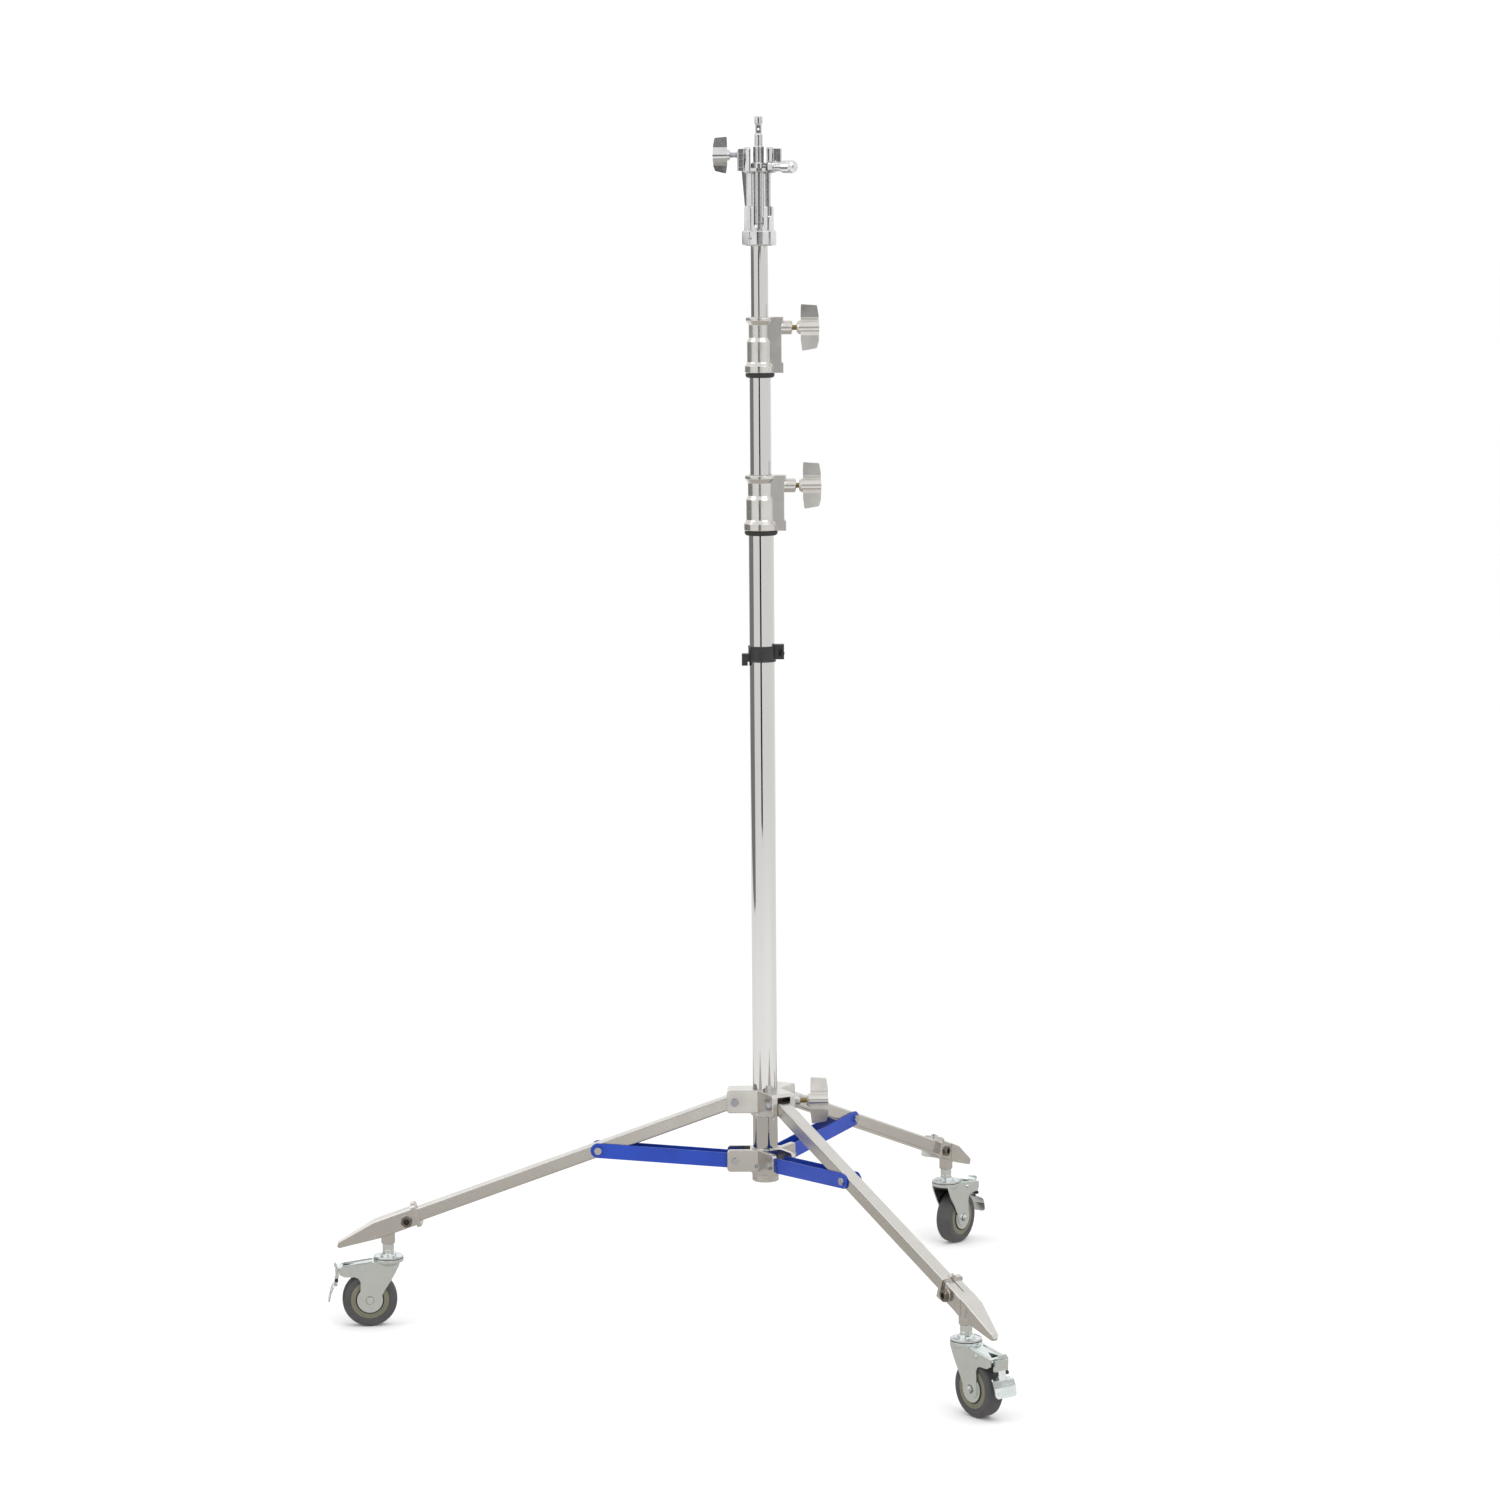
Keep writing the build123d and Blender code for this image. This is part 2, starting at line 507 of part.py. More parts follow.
def brace_ends():
    """Both pivots of a brace in the leg's plane: at the lower hub and on the leg."""
    slope = math.radians(LEG_SLOPE)
    outer = (LEG_PIVOT_R + BRACE_TO_LEG * math.cos(slope), LEG_PIVOT_Z - BRACE_TO_LEG * math.sin(slope))
    return (BRACE_PIVOT_R, BRACE_PIVOT_Z), outer


def in_brace(azimuth, shape):
    """Places a shape drawn along +X from the brace's inner pivot."""
    inner, outer = brace_ends()
    rise = math.degrees(math.atan2(outer[1] - inner[1], outer[0] - inner[0]))
    return Rot(0, 0, azimuth) * Pos(inner[0], 0, inner[1]) * Rot(0, -rise, 0) * shape


def brace():
    """A folded channel, open at the top, with round ends and its floor cut back where the leg passes."""
    length = math.dist(*brace_ends())
    half, inside = BRACE_HEIGHT / 2, BRACE_INSIDE / 2
    outside = inside + BRACE_WALL
    blank = box_between((0, -outside, -half), (length, outside, half))
    blank += rod_y(half, -outside, outside) + rod_y(half, -outside, outside, x=length)
    hollow = box_between((-half - 1, -inside, -half + BRACE_WALL), (length + half + 1, inside, half + 1))
    ends = box_between((-half - 1, -inside, -half - 1), (16, inside, half))
    ends += box_between((length - BRACE_WEB_CUTBACK, -inside, -half - 1), (length + half + 1, inside, half))
    pivot = rod_y(PIVOT_BOLT_R + FIT_GAP, -20, 20)
    return blank - hollow - ends - pivot - rod_y(PIVOT_BOLT_R, -20, 20, x=length)


def brace_bolt():
    """The pivot between brace and leg: a headed stub in each flange."""
    length = math.dist(*brace_ends())
    inside = BRACE_INSIDE / 2
    outside = inside + BRACE_WALL
    stub = rod_y(PIVOT_BOLT_R, inside, outside, x=length) + hex_y(13, outside, outside + 5, x=length)
    return both_sides(stub, x=length)


# ---- casters -------------------------------------------------------------------------------
def in_caster(azimuth, heading, shape):
    """Places a shape drawn about the stem's axis with the wheel trailing towards +X."""
    return Rot(0, 0, azimuth) * Pos(CASTER_STEM_R, 0, 0) * Rot(0, 0, heading - azimuth) * shape


def caster_stem():
    """Stem, neck and dished upper race in one, with the king pin riveted under the fork's plate."""
    low = RACE_Z + 0.4
    pin_head = PLATE_TOP - PLATE_THICKNESS - 0.6
    return turned([(0, pin_head - 5.4), (5.5, pin_head - 5.4), (8, pin_head - 3.9), (8, pin_head),
                   (5, pin_head + 0.2),
                   (5, low), (26.4, low), (27, low + 0.8), (27, low + 3.8), (26, low + 4.6), (24.6, low + 4.6),
                   (23, low + 3.4), (17, low + 2.6), (15, low + 2.6), (14.2, low + 8), (12.6, low + 9.5),
                   (10.5, low + 9.5), (10.5, STEM_SHOULDER - 12.6), (10, STEM_SHOULDER - 12),
                   (10.5, STEM_SHOULDER - 11.4), (10.5, STEM_SHOULDER - 1.2), (10, STEM_SHOULDER - 0.6),
                   (10.5, STEM_SHOULDER), (STEM_R, STEM_SHOULDER), (STEM_R, STEM_TOP), (0, STEM_TOP)])


def arm_top(x):
    """Height of the fork's top plate above the floor, flat at first and then falling."""
    return PLATE_TOP - max(0.0, x - 20.0) * ARM_DROP


def fork_plate():
    """The pressed fork itself: top plate, two cheeks and the lower race."""
    outer = FORK_INSIDE + FORK_WALL
    under = PLATE_TOP - PLATE_THICKNESS
    cheek = slab([(-19, PLATE_TOP), (20, PLATE_TOP), (ARM_END, arm_top(ARM_END)), (ARM_END, 99), (80, 94),
                  (62, 94),
                  (55, 91), (51.5, 84), (52.5, WHEEL_R), (17.5, WHEEL_R), (8, 68), (-4, 86), (-12, 100), (-18, 112),
                  (-20, 117)], -outer, outer)
    foot = rod_y(17.5, -outer, outer, x=CASTER_TRAIL, z=WHEEL_R)
    race = turned([(0, under - 7), (19, under - 7), (26.5, under), (27.5, PLATE_TOP - 1.5),
                   (27.5, RACE_Z - 0.8),
                   (26.7, RACE_Z), (0, RACE_Z)])
    inside = slab([(-60, 0), (-60, under), (20, under), (ARM_END + 1, arm_top(ARM_END + 1) - PLATE_THICKNESS),
                   (ARM_END + 1, 0)], -FORK_INSIDE, FORK_INSIDE)
    fold = slab([(29, arm_top(29) - 1), (29, arm_top(29)), (31, arm_top(31) + 1.4), (84, arm_top(84) + 1.4),
                 (86, arm_top(86)), (86, arm_top(86) - 1)], 12.2, 15.4)
    window = Pos(0, 0, 90) * extrude(make_face(Polyline((83, -10.5), (83, 10.5), (60, 0), close=True)), 40)
    king_hole = ring(5.0 + FIT_GAP, 0, under - 20, RACE_Z + 10)
    body = cheek + foot + race + fold + mirror(fold, Plane.XZ)
    return body - inside - king_hole - window


def caster_fork():
    """The fork, with its thread guards and brake rivet fixed to it, and the wheel's axle bolt."""
    outer = FORK_INSIDE + FORK_WALL
    fork = fork_plate() + rod_y(RIVET_R, -outer, outer, x=BRAKE_PIVOT[0], z=BRAKE_PIVOT[1])
    rivet_head = rod_y(3.8, outer - 1, outer + 2, x=BRAKE_PIVOT[0], z=BRAKE_PIVOT[1])
    guard = rod_y(23.4, 14.6, FORK_INSIDE, x=CASTER_TRAIL, z=WHEEL_R)
    for part in both_sides(rivet_head, x=BRAKE_PIVOT[0]) + both_sides(guard, x=CASTER_TRAIL):
        fork += part
    axle_hole = rod_y(AXLE_R, -30, 30, x=CASTER_TRAIL, z=WHEEL_R)
    shank = rod_y(AXLE_R, -outer - 6, outer, x=CASTER_TRAIL, z=WHEEL_R)
    head, nut = both_sides(hex_y(12, outer, outer + 4.5, x=CASTER_TRAIL, z=WHEEL_R), x=CASTER_TRAIL)
    return [fork - axle_hole, shank + head, nut - shank]


def wheel_turned(points):
    """A wheel part from (radius, half width) points, mirrored about the wheel's middle."""
    outline = points + [(radius, -side) for radius, side in reversed(points)]
    return Pos(CASTER_TRAIL, 0, WHEEL_R) * Rot(90, 0, 0) * turned(outline)


def tyre():
    return wheel_turned([(CORE_R, 15.2), (38, 15.8), (43, 16.0), (46.5, 14.8), (48.8, 12.2), (49.8, 8.5),
                         (WHEEL_R, 3.0)])


def wheel_core():
    return wheel_turned([(AXLE_R + FIT_GAP, 14.2), (23.6, 14.2), (23.6, 10), (25.6, 10), (25.6, 14.6),
                         (26.6, 15.2),
                         (34.5, 15.2), (CORE_R, 14.2)])


def brake_pedal():
    """The brake lever: pivot sleeve, tongue under the fork's arm, end block, release tab and foot pedal."""
    pivot_x, pivot_z = BRAKE_PIVOT
    sleeve = rod_y(3.6, -16.4, 16.4, x=pivot_x, z=pivot_z)
    tongue = slab([(pivot_x, pivot_z - 1.5), (pivot_x, pivot_z + 2), (ARM_END + 2, 105),
                   (ARM_END + 2, 101.5)], -13, 13)
    shoe = box_between((58, -10, 96.4), (66, 10, 106.5))
    block = box_between((ARM_END + 0.8, -13.5, 91), (ARM_END + 7, 13.5, 109.5))
    neck = slab([(ARM_END + 3, 92), (ARM_END + 7, 92), (ARM_END + 10.5, 76), (ARM_END + 7.5, 76)], -7.5, 7.5)
    tab = slab([(ARM_END + 3, 106), (ARM_END + 3, 112), (ARM_END + 6, 115.5), (ARM_END + 6, 119),
                (ARM_END + 9, 119), (ARM_END + 9, 113.5), (ARM_END + 6.5, 110.5), (ARM_END + 6.5, 106)], -9, 9)
    curve = [(ARM_END + 4.5, 80), (ARM_END + 12, 76), (ARM_END + 16.5, 66), (ARM_END + 20.5, 48.5)]
    back = [(x - 2.2, z - 0.8) for x, z in reversed(curve)]
    face = Pos(ARM_END, 0, 64) * extrude(Plane.YZ * RectangleRounded(44, 32, 7), 30)
    pedal = slab(curve + back, -22, 22) & face
    ridges = slab([(x + 1.1, z + 0.4) for x, z in curve] + back, -17, 17)
    ridges &= box_between((ARM_END, -17, 55), (140, 17, 58.5)) + box_between((ARM_END, -17, 66),
                                                                             (140, 17, 69.5))
    rivet_hole = rod_y(RIVET_R + FIT_GAP, -30, 30, x=pivot_x, z=pivot_z)
    return sleeve + tongue + shoe + block + neck + tab + pedal + ridges - rivet_hole


# ---- assembly ------------------------------------------------------------------------------
def make_column():
    base_step = BASE_COLLAR_BOTTOM + COLLAR_SHOULDER
    mid_step = MID_COLLAR_BOTTOM + COLLAR_SHOULDER
    bushing_r = MID_TUBE_R + 1.8
    save(tube(BASE_TUBE_R, BASE_TUBE_BOTTOM, base_step), "base_tube")
    save(base_end_cap(), "base_end_cap")
    save(lower_hub(), "lower_hub")
    save_group(hub_bolts(BRACE_PIVOT_R, BRACE_PIVOT_Z) + set_screws(), "lower_hub_bolts")
    save(collar(BASE_COLLAR_BOTTOM, BASE_TUBE_R, bushing_r, 41.5, 62.4), "base_collar")
    save(ring(bushing_r, MID_TUBE_R + FIT_GAP, base_step, base_step + 8), "base_collar_bushing")
    save(collar_ring(BASE_COLLAR_BOTTOM, BASE_TUBE_R, 29.5), "base_collar_ring")
    save(tube_clip(), "tube_clip")
    save(tube(MID_TUBE_R, MID_TUBE_BOTTOM, mid_step), "mid_riser_tube")
    save(riser_guide(MID_TUBE_R, BASE_TUBE_R, MID_TUBE_BOTTOM), "mid_riser_guide")
    save(collar(MID_COLLAR_BOTTOM, MID_TUBE_R, TOP_TUBE_R + FIT_GAP, 38.4, 57.6), "mid_collar")
    save(collar_ring(MID_COLLAR_BOTTOM, MID_TUBE_R, 25.9), "mid_collar_ring")
    save(tube(TOP_TUBE_R, TOP_TUBE_BOTTOM, TOP_TUBE_TOP), "top_riser_tube")
    save(riser_guide(TOP_TUBE_R, MID_TUBE_R, TOP_TUBE_BOTTOM), "top_riser_guide")


def make_head():
    save(head_socket(), "head_socket")
    save_group(head_collar(), "head_collar")
    save(spigot(), "pin_spigot")
    save(baby_pin(), "baby_pin")
    save(plunger_guide(), "plunger_guide")
    save(plunger(), "plunger_knob")


def make_clamps():
    base_z = BASE_COLLAR_BOTTOM + CLAMP_ABOVE_COLLAR_BOTTOM
    mid_z = MID_COLLAR_BOTTOM + CLAMP_ABOVE_COLLAR_BOTTOM
    sets = {
        "base": (Pos(0, 0, base_z), MID_TUBE_R + 0.4, 68.0, 1.0),
        "mid": (Pos(0, 0, mid_z), TOP_TUBE_R + 0.4, 65.6, 1.0),
        "hub": (Pos(0, 0, HUB_CLAMP_Z), BASE_TUBE_R + 0.4, 75.0, 1.0),
        "head": (Pos(0, 0, HEAD_CLAMP_Z) * Rot(0, 0, 180), 15.0, 49.5, 0.79),
    }
    for name, (place, tip, start, size) in sets.items():
        save(place * handle(start, size), f"{name}_handle")
        save_group([place * part for part in clamp_screw(tip, start, size)], f"{name}_clamp_screw")


def make_base():
    save(leg_hub(), "leg_hub")
    save_group(hub_bolts(LEG_PIVOT_R, LEG_PIVOT_Z), "leg_hub_bolts")
    for side, azimuth in LEG_AZIMUTHS.items():
        heading = CASTER_HEADINGS[side]
        save(in_leg(azimuth, leg_tube()), f"{side}_leg_tube")
        save(at_azimuth(azimuth, leg_foot()), f"{side}_foot")
        save_group([in_leg(azimuth, part) for part in foot_bolt()], f"{side}_foot_bolt")
        save(in_brace(azimuth, brace()), f"{side}_brace")
        save_group([in_brace(azimuth, part) for part in brace_bolt()], f"{side}_brace_bolt")
        save(in_caster(azimuth, heading, caster_stem()), f"{side}_caster_stem")
        save_group([in_caster(azimuth, heading, part) for part in caster_fork()], f"{side}_caster_fork")
        save(in_caster(azimuth, heading, tyre()), f"{side}_tyre")
        save(in_caster(azimuth, heading, wheel_core()), f"{side}_wheel_core")
        save(in_caster(azimuth, heading, brake_pedal()), f"{side}_brake_pedal")


os.makedirs("parts", exist_ok=True)
make_column()
make_head()
make_clamps()
make_base()
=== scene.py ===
import json
import math

import bpy
from mathutils import Matrix, Vector


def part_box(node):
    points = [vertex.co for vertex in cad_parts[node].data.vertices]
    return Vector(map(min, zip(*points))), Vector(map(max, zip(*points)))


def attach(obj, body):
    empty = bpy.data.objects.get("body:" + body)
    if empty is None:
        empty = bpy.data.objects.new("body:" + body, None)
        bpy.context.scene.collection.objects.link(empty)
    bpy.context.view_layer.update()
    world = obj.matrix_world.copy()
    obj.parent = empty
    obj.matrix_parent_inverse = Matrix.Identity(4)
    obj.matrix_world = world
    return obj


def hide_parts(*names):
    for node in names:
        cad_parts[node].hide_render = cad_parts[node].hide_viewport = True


# Rolling light stand: materials, small detail pieces, floor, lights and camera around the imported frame.
# Everything is in metres in the frame's own axes.

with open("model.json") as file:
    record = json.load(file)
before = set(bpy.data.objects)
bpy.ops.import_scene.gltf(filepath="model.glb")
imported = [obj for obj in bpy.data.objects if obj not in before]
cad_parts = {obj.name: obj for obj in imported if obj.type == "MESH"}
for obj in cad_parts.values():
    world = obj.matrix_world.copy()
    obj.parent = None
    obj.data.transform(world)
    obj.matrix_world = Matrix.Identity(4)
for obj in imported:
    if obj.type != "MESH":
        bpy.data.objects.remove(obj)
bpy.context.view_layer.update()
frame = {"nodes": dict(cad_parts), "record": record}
NODES = frame["nodes"]
SLOT_OF = {part["node"]: part["material_slot"] for part in frame["record"]["subparts"]}
JOINTS = {joint["name"]: joint for joint in frame["record"]["behaviour"]["joints"]}
SIDES = ("left", "front", "rear")
ENDS = (("a", -1), ("b", 1))
MM = 0.001
FULL_TURN = 2 * math.pi


# ---- node helpers --------------------------------------------------------------------------
class Tree:
    """A material's node tree with short ways to add and join nodes."""

    def __init__(self, material):
        material.use_nodes = True
        self.tree = material.node_tree
        self.tree.nodes.clear()
        self.output = self.add("ShaderNodeOutputMaterial")
        self.coords = self.add("ShaderNodeTexCoord").outputs["Object"]

    def add(self, kind, **settings):
        node = self.tree.nodes.new(kind)
        for name, value in settings.items():
            setattr(node, name, value)
        return node

    def join(self, source, target):
        self.tree.links.new(source, target)

    def scaled(self, scale):
        """Object coordinates times a scale for each axis."""
        node = self.add("ShaderNodeMapping")
        node.inputs["Scale"].default_value = scale
        self.join(self.coords, node.inputs["Vector"])
        return node.outputs["Vector"]

    def noise(self, scale, detail=3.0, roughness=0.5, stretch=(1, 1, 1)):
        """Noise from 0 to 1, with its cells pulled long on the axes where stretch is small."""
        node = self.add("ShaderNodeTexNoise")
        node.inputs["Scale"].default_value = scale
        node.inputs["Detail"].default_value = detail
        node.inputs["Roughness"].default_value = roughness
        self.join(self.scaled(stretch), node.inputs["Vector"])
        return node.outputs["Fac"]

    def spread(self, value, low, high, start=0.3, end=0.7):
        """The value's range from start to end, mapped to low to high."""
        node = self.add("ShaderNodeMapRange")
        for name, number in (("From Min", start), ("From Max", end), ("To Min", low), ("To Max", high)):
            node.inputs[name].default_value = number
        self.join(value, node.inputs["Value"])
        return node.outputs["Result"]

    def blend(self, factor, first, second):
        """A colour between two, by a factor."""
        node = self.add("ShaderNodeMix", data_type="RGBA")
        colour_a, colour_b, mixed = node.inputs[6], node.inputs[7], node.outputs[2]
        self.join(factor, node.inputs["Factor"])
        for socket, colour in ((colour_a, first), (colour_b, second)):
            if isinstance(colour, bpy.types.NodeSocket):
                self.join(colour, socket)
            else:
                socket.default_value = (*colour, 1)
        return mixed

    def maths(self, operation, first, second):
        node = self.add("ShaderNodeMath", operation=operation)
        for socket, value in zip(node.inputs, (first, second)):
            if isinstance(value, bpy.types.NodeSocket):
                self.join(value, socket)
            else:
                socket.default_value = value
        return node.outputs["Value"]

    def rounded(self, radius):
        """A normal that rounds sharp edges off by a radius."""
        node = self.add("ShaderNodeBevel", samples=4)
        node.inputs["Radius"].default_value = radius
        return node.outputs["Normal"]

    def edges(self, radius):
        """1 along sharp edges and 0 on flat faces."""
        sharpness = 0.12
        dot = self.add("ShaderNodeVectorMath", operation="DOT_PRODUCT")
        self.join(self.rounded(radius), dot.inputs[0])
        self.join(self.add("ShaderNodeNewGeometry").outputs["Normal"], dot.inputs[1])
        return self.spread(dot.outputs["Value"], 1.0, 0.0, start=1.0 - sharpness, end=1.0)

    def bump(self, height, strength, distance, normal=None):
        """A normal that follows a height, on top of another normal where one is given."""
        node = self.add("ShaderNodeBump")
        node.inputs["Strength"].default_value = strength
        node.inputs["Distance"].default_value = distance
        self.join(height, node.inputs["Height"])
        if normal is not None:
            self.join(normal, node.inputs["Normal"])
        return node.outputs["Normal"]

    def shader(self, colour, roughness, normal, **constants):
        """The surface's shader, with constants by socket name, an underscore for each space."""
        node = self.add("ShaderNodeBsdfPrincipled")
        self.join(colour, node.inputs["Base Color"])
        self.join(roughness, node.inputs["Roughness"])
        self.join(normal, node.inputs["Normal"])
        for name, value in constants.items():
            node.inputs[name.replace("_", " ")].default_value = value
        self.join(node.outputs["BSDF"], self.output.inputs["Surface"])


def new_tree(name):
    material = bpy.data.materials.new(name)
    return material, Tree(material)


def brighter(colour, gain, lift=0.0):
    return [min(1.0, channel * gain + lift) for channel in colour]


# ---- materials -----------------------------------------------------------------------------
def polished_metal(name, light, dark, rough_low, rough_high):
    """Plated metal with faint drawing marks along Z and a soft cloudiness."""
    material, tree = new_tree(name)
    cloud = tree.noise(9.0, detail=2.0, stretch=(1, 1, 0.25))
    marks = tree.noise(1400.0, detail=2.0, stretch=(1, 1, 0.02))
    colour = tree.blend(tree.spread(cloud, 0.0, 1.0), light, dark)
    rough = tree.maths("ADD", tree.spread(cloud, rough_low, rough_high), tree.spread(marks, 0.0, 0.015))
    normal = tree.bump(marks, strength=0.03, distance=0.02 * MM, normal=tree.rounded(0.4 * MM))
    tree.shader(colour, rough, normal, Metallic=1.0)
    return material


def cast_metal(name, light, dark, rough_low, rough_high, grain=800.0, depth=0.03, edge=0.8 * MM):
    """Tumbled casting: a fine orange-peel grain, cloudy patches and brighter rubbed edges."""
    material, tree = new_tree(name)
    patches = tree.noise(28.0)
    skin = tree.noise(grain, roughness=0.6)
    rubbed = tree.maths("MULTIPLY", tree.edges(edge), 0.5)
    clouded = tree.blend(tree.spread(patches, 0.0, 1.0), light, dark)
    colour = tree.blend(rubbed, clouded, brighter(light, gain=1.18))
    rough = tree.maths("ADD", tree.spread(patches, rough_low, rough_high), tree.spread(skin, -0.03, 0.04))
    normal = tree.bump(skin, strength=depth, distance=0.12 * MM, normal=tree.rounded(edge))
    tree.shader(colour, rough, normal, Metallic=1.0)
    return material


def brushed_leg(name, light, dark):
    """Satin plated square tube: soft patches and light scuffs."""
    material, tree = new_tree(name)
    patches = tree.noise(26.0)
    scuffs = tree.noise(300.0, roughness=0.6)
    colour = tree.blend(tree.spread(patches, 0.0, 1.0), light, dark)
    rough = tree.maths("ADD", tree.spread(patches, 0.20, 0.28), tree.spread(scuffs, -0.01, 0.02))
    normal = tree.bump(scuffs, strength=0.02, distance=0.04 * MM, normal=tree.rounded(0.9 * MM))
    tree.shader(colour, rough, normal, Metallic=1.0)
    return material


def painted(name, base, shade, worn):
    """Powder coat: an even orange peel, slightly thin and bright on the edges."""
    material, tree = new_tree(name)
    drift = tree.noise(18.0)
    peel = tree.noise(700.0, detail=2.0)
    edges = tree.edges(0.7 * MM)
    chips = tree.spread(tree.noise(130.0, detail=4.0, roughness=0.7), 0.0, 0.6, start=0.4, end=0.65)
    rub = tree.maths("MULTIPLY", edges, chips)
    colour = tree.blend(rub, tree.blend(tree.spread(drift, 0.0, 1.0), base, shade), worn)
    rough = tree.spread(peel, 0.34, 0.46)
    normal = tree.bump(peel, strength=0.12, distance=0.08 * MM, normal=tree.rounded(0.8 * MM))
    tree.shader(colour, rough, normal, Coat_Weight=0.12, Coat_Roughness=0.25, Specular_IOR_Level=0.3)
    return material


def moulded(name, base, shade, rough_low, rough_high, grain=600.0):
    """Moulded plastic or rubber with a fine texture and dusty edges."""
    edge = 0.5 * MM
    material, tree = new_tree(name)
    drift = tree.noise(40.0, detail=4.0, roughness=0.6)
    skin = tree.noise(grain, roughness=0.55)
    dust = tree.maths("MULTIPLY", tree.edges(edge), tree.spread(drift, 0.1, 0.5))
    clean = tree.blend(tree.spread(drift, 0.0, 1.0), base, shade)
    colour = tree.blend(dust, clean, brighter(base, gain=1.6, lift=0.02))
    rough = tree.maths("ADD", tree.spread(drift, rough_low, rough_high), tree.spread(skin, -0.04, 0.05))
    normal = tree.bump(skin, strength=0.2, distance=0.1 * MM, normal=tree.rounded(edge))
    tree.shader(colour, rough, normal)
    return material


MATERIALS = {
    "chrome_tube": polished_metal("chrome_tube", (0.615, 0.607, 0.592), (0.590, 0.582, 0.566), 0.02, 0.04),
    "cast_metal": cast_metal("cast_metal", (0.640, 0.622, 0.595), (0.590, 0.570, 0.540), 0.16, 0.24),
    "chrome_cast": cast_metal("chrome_cast", (0.680, 0.680, 0.680), (0.600, 0.600, 0.600), 0.06, 0.12,
                              depth=0.05, edge=0.6 * MM),
    "leg_metal": brushed_leg("leg_metal", (0.620, 0.605, 0.572), (0.590, 0.572, 0.537)),
    "brace_paint": painted("brace_paint", (0.010, 0.055, 0.420), (0.008, 0.042, 0.340), (0.08, 0.16, 0.58)),
    "zinc_plate": cast_metal("zinc_plate", (0.740, 0.785, 0.775), (0.680, 0.725, 0.720), 0.18, 0.28,
                             grain=1500.0, depth=0.05, edge=0.4 * MM),
    "bolt_steel": cast_metal("bolt_steel", (0.560, 0.575, 0.600), (0.400, 0.410, 0.440), 0.20, 0.32,
                             grain=1800.0, depth=0.06, edge=0.3 * MM),
    "dark_bolt": cast_metal("dark_bolt", (0.300, 0.260, 0.225), (0.170, 0.140, 0.120), 0.20, 0.32,
                            grain=1800.0, depth=0.06, edge=0.3 * MM),
    "brass": cast_metal("brass", (0.400, 0.300, 0.120), (0.270, 0.200, 0.085), 0.26, 0.38,
                        grain=1500.0, depth=0.04, edge=0.2 * MM),
    "black_nylon": moulded("black_nylon", (0.011, 0.011, 0.012), (0.018, 0.018, 0.018), 0.36, 0.48),
    "black_rubber": moulded("black_rubber", (0.010, 0.010, 0.010), (0.017, 0.017, 0.016), 0.50, 0.66),
    "tyre_rubber": moulded("tyre_rubber", (0.066, 0.064, 0.067), (0.052, 0.050, 0.053), 0.50, 0.64,
                           grain=900.0),
    "core_plastic": moulded("core_plastic", (0.165, 0.160, 0.110), (0.135, 0.130, 0.088), 0.42, 0.55),
}

for node, slot in SLOT_OF.items():
    mesh = NODES[node].data
    mesh.materials.clear()
    mesh.materials.append(MATERIALS[slot])


# ---- shapes of detail pieces ---------------------------------------------------------------
def add_piece(name, body, slot, vertices, faces, smooth_faces=0):
    """A mesh piece that rides on a body, with its first faces smooth."""
    mesh = bpy.data.meshes.new(name)
    mesh.from_pydata(vertices, [], faces)
    for polygon in mesh.polygons:
        polygon.use_smooth = polygon.index < smooth_faces
    mesh.materials.append(MATERIALS[slot])
    piece = bpy.data.objects.new(name, mesh)
    bpy.context.scene.collection.objects.link(piece)
    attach(piece, body)
    return piece


def spun(name, body, slot, length, rows, columns, radius, place):
    """A closed piece round its own +Z axis, whose radius is a function of (height, angle)."""
    vertices, faces = [], []
    for row in range(rows + 1):
        height = length * row / rows
        for column in range(columns):
            angle = FULL_TURN * column / columns
            reach = radius(height, angle)
            vertices.append(place @ Vector((reach * math.cos(angle), reach * math.sin(angle), height)))
    for row in range(rows):
        below, above = row * columns, (row + 1) * columns
        for column in range(columns):
            after = (column + 1) % columns
            faces.append((below + column, below + after, above + after, above + column))
    faces.append(tuple(reversed(range(columns))))
    faces.append(tuple(rows * columns + column for column in range(columns)))
    return add_piece(name, body, slot, vertices, faces, smooth_faces=rows * columns)


def hoop(name, body, slot, inner, outer, length, place):
    """A closed ring of square section round its own +Z axis, from z = 0 to its length."""
    columns = 64
    corners = ((inner, 0), (outer, 0), (outer, length), (inner, length))
    vertices, faces = [], []
    for column in range(columns):
        angle = FULL_TURN * column / columns
        for reach, height in corners:
            vertices.append(place @ Vector((reach * math.cos(angle), reach * math.sin(angle), height)))
        here, there = 4 * column, 4 * ((column + 1) % columns)
        faces += [(here + a, there + a, there + (a + 1) % 4, here + (a + 1) % 4) for a in range(4)]
    return add_piece(name, body, slot, vertices, faces)


def pointing(origin, direction):
    """A placement with its +Z along a direction."""
    return Matrix.Translation(origin) @ Vector(direction).to_track_quat("Z", "Y").to_matrix().to_4x4()


def middle(node):
    """The middle of a node's box at rest."""
    low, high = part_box(node)
    return (Vector(low) + Vector(high)) / 2


